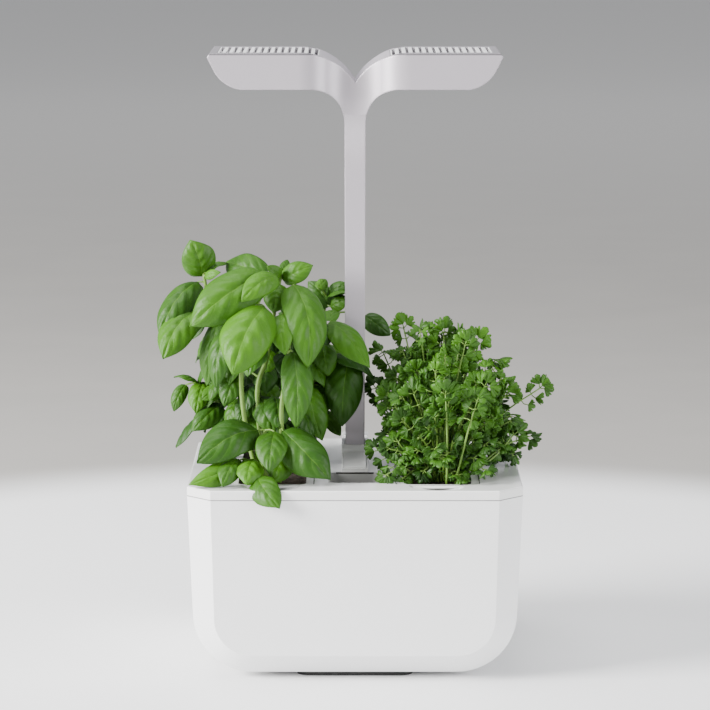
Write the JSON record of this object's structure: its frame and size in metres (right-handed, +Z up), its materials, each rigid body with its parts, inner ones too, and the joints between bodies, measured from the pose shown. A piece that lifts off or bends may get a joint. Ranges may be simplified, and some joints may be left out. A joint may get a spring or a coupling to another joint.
{
  "type": "countertop hydroponic garden",
  "caption": "Countertop water garden: white tub with a lift-off tray, two planting cartridges with basil and parsley, and a winged grow-lamp arm on a central socket.",
  "frame": {"origin": "on the table under the middle of the base pad", "axes": "+X to the right, front towards -Y, +Z up along the lamp stem"},
  "size_m": [0.2293, 0.17, 0.3708],
  "materials": {
    "tub_plastic": "white injection-moulded plastic, soft satin gloss",
    "lid_plastic": "white injection-moulded plastic, high gloss",
    "pad_rubber": "dark non-slip rubber",
    "dark_plastic": "black moulded plastic",
    "contact_brass": "plated contact pin",
    "board_laminate": "green circuit board laminate",
    "screw_steel": "plated steel",
    "float_foam": "closed-cell foam, off-white",
    "cartridge_plastic": "dark moulded tray",
    "wick_felt": "pale needle felt",
    "growing_medium": "dark damp peat-like growing medium",
    "basil_leaf": "glossy green leaf",
    "parsley_leaf": "satin green leaf",
    "arm_satin": "satin silver with a faint lilac cast",
    "vent_grey": "satin grey slotted cover",
    "sink_aluminium": "extruded heat sink",
    "light_source": "small light source, not lit",
    "lens_clear": "frosted clear diffuser",
    "wire_sheath": "black wire sheath"
  },
  "bodies": {
    "base": {"tub": "tub_plastic", "base_pad": "pad_rubber"},
    "tray": {"tray": "lid_plastic", "lamp_socket": "lid_plastic", "contact_block": "dark_plastic", "contact_pins": "contact_brass", "control_box": "lid_plastic", "control_board": "board_laminate", "board_screws": "screw_steel", "power_inlet": "dark_plastic", "float_guide": "lid_plastic"},
    "key": {"power_key": "lid_plastic"},
    "float": {"level_float": "float_foam"},
    "left_cartridge": {"cartridge_shell_left": "cartridge_plastic", "wick_left": "wick_felt", "substrate_left": "growing_medium", "cover_left": "lid_plastic", "basil_plant": "basil_leaf"},
    "right_cartridge": {"cartridge_shell_right": "cartridge_plastic", "wick_right": "wick_felt", "substrate_right": "growing_medium", "cover_right": "lid_plastic", "parsley_plant": "parsley_leaf"},
    "lamp": {"arm_front_shell": "arm_satin", "arm_rear_shell": "arm_satin", "arm_screws": "screw_steel", "arm_harness": "wire_sheath", "stem_plug": "dark_plastic", "vent_cover_left": "vent_grey", "vent_cover_right": "vent_grey", "heat_sink_left": "sink_aluminium", "heat_sink_right": "sink_aluminium", "lamp_board_left": "board_laminate", "lamp_board_right": "board_laminate", "light_sources_left": "light_source", "light_sources_right": "light_source", "lens_left": "lens_clear", "lens_right": "lens_clear"}
  },
  "joints": [
    {"name": "tray_lift", "type": "slide", "parent": "base", "child": "tray", "axis": [0, 0, 1], "range_m": [0, 0.08]},
    {"name": "lamp_lift", "type": "slide", "parent": "tray", "child": "lamp", "axis": [0, 0, 1], "range_m": [0, 0.03]},
    {"name": "left_cartridge_lift", "type": "slide", "parent": "tray", "child": "left_cartridge", "axis": [0, 0, 1], "range_m": [0, 0.06]},
    {"name": "right_cartridge_lift", "type": "slide", "parent": "tray", "child": "right_cartridge", "axis": [0, 0, 1], "range_m": [0, 0.06]},
    {"name": "float_rise", "type": "slide", "parent": "tray", "child": "float", "axis": [0, 0, 1], "range_m": [0, 0.012]},
    {"name": "key_press", "type": "slide", "parent": "tray", "child": "key", "axis": [0, 0, -1], "range_m": [0, 0.0008], "stiffness_N_per_m": 400}
  ]
}
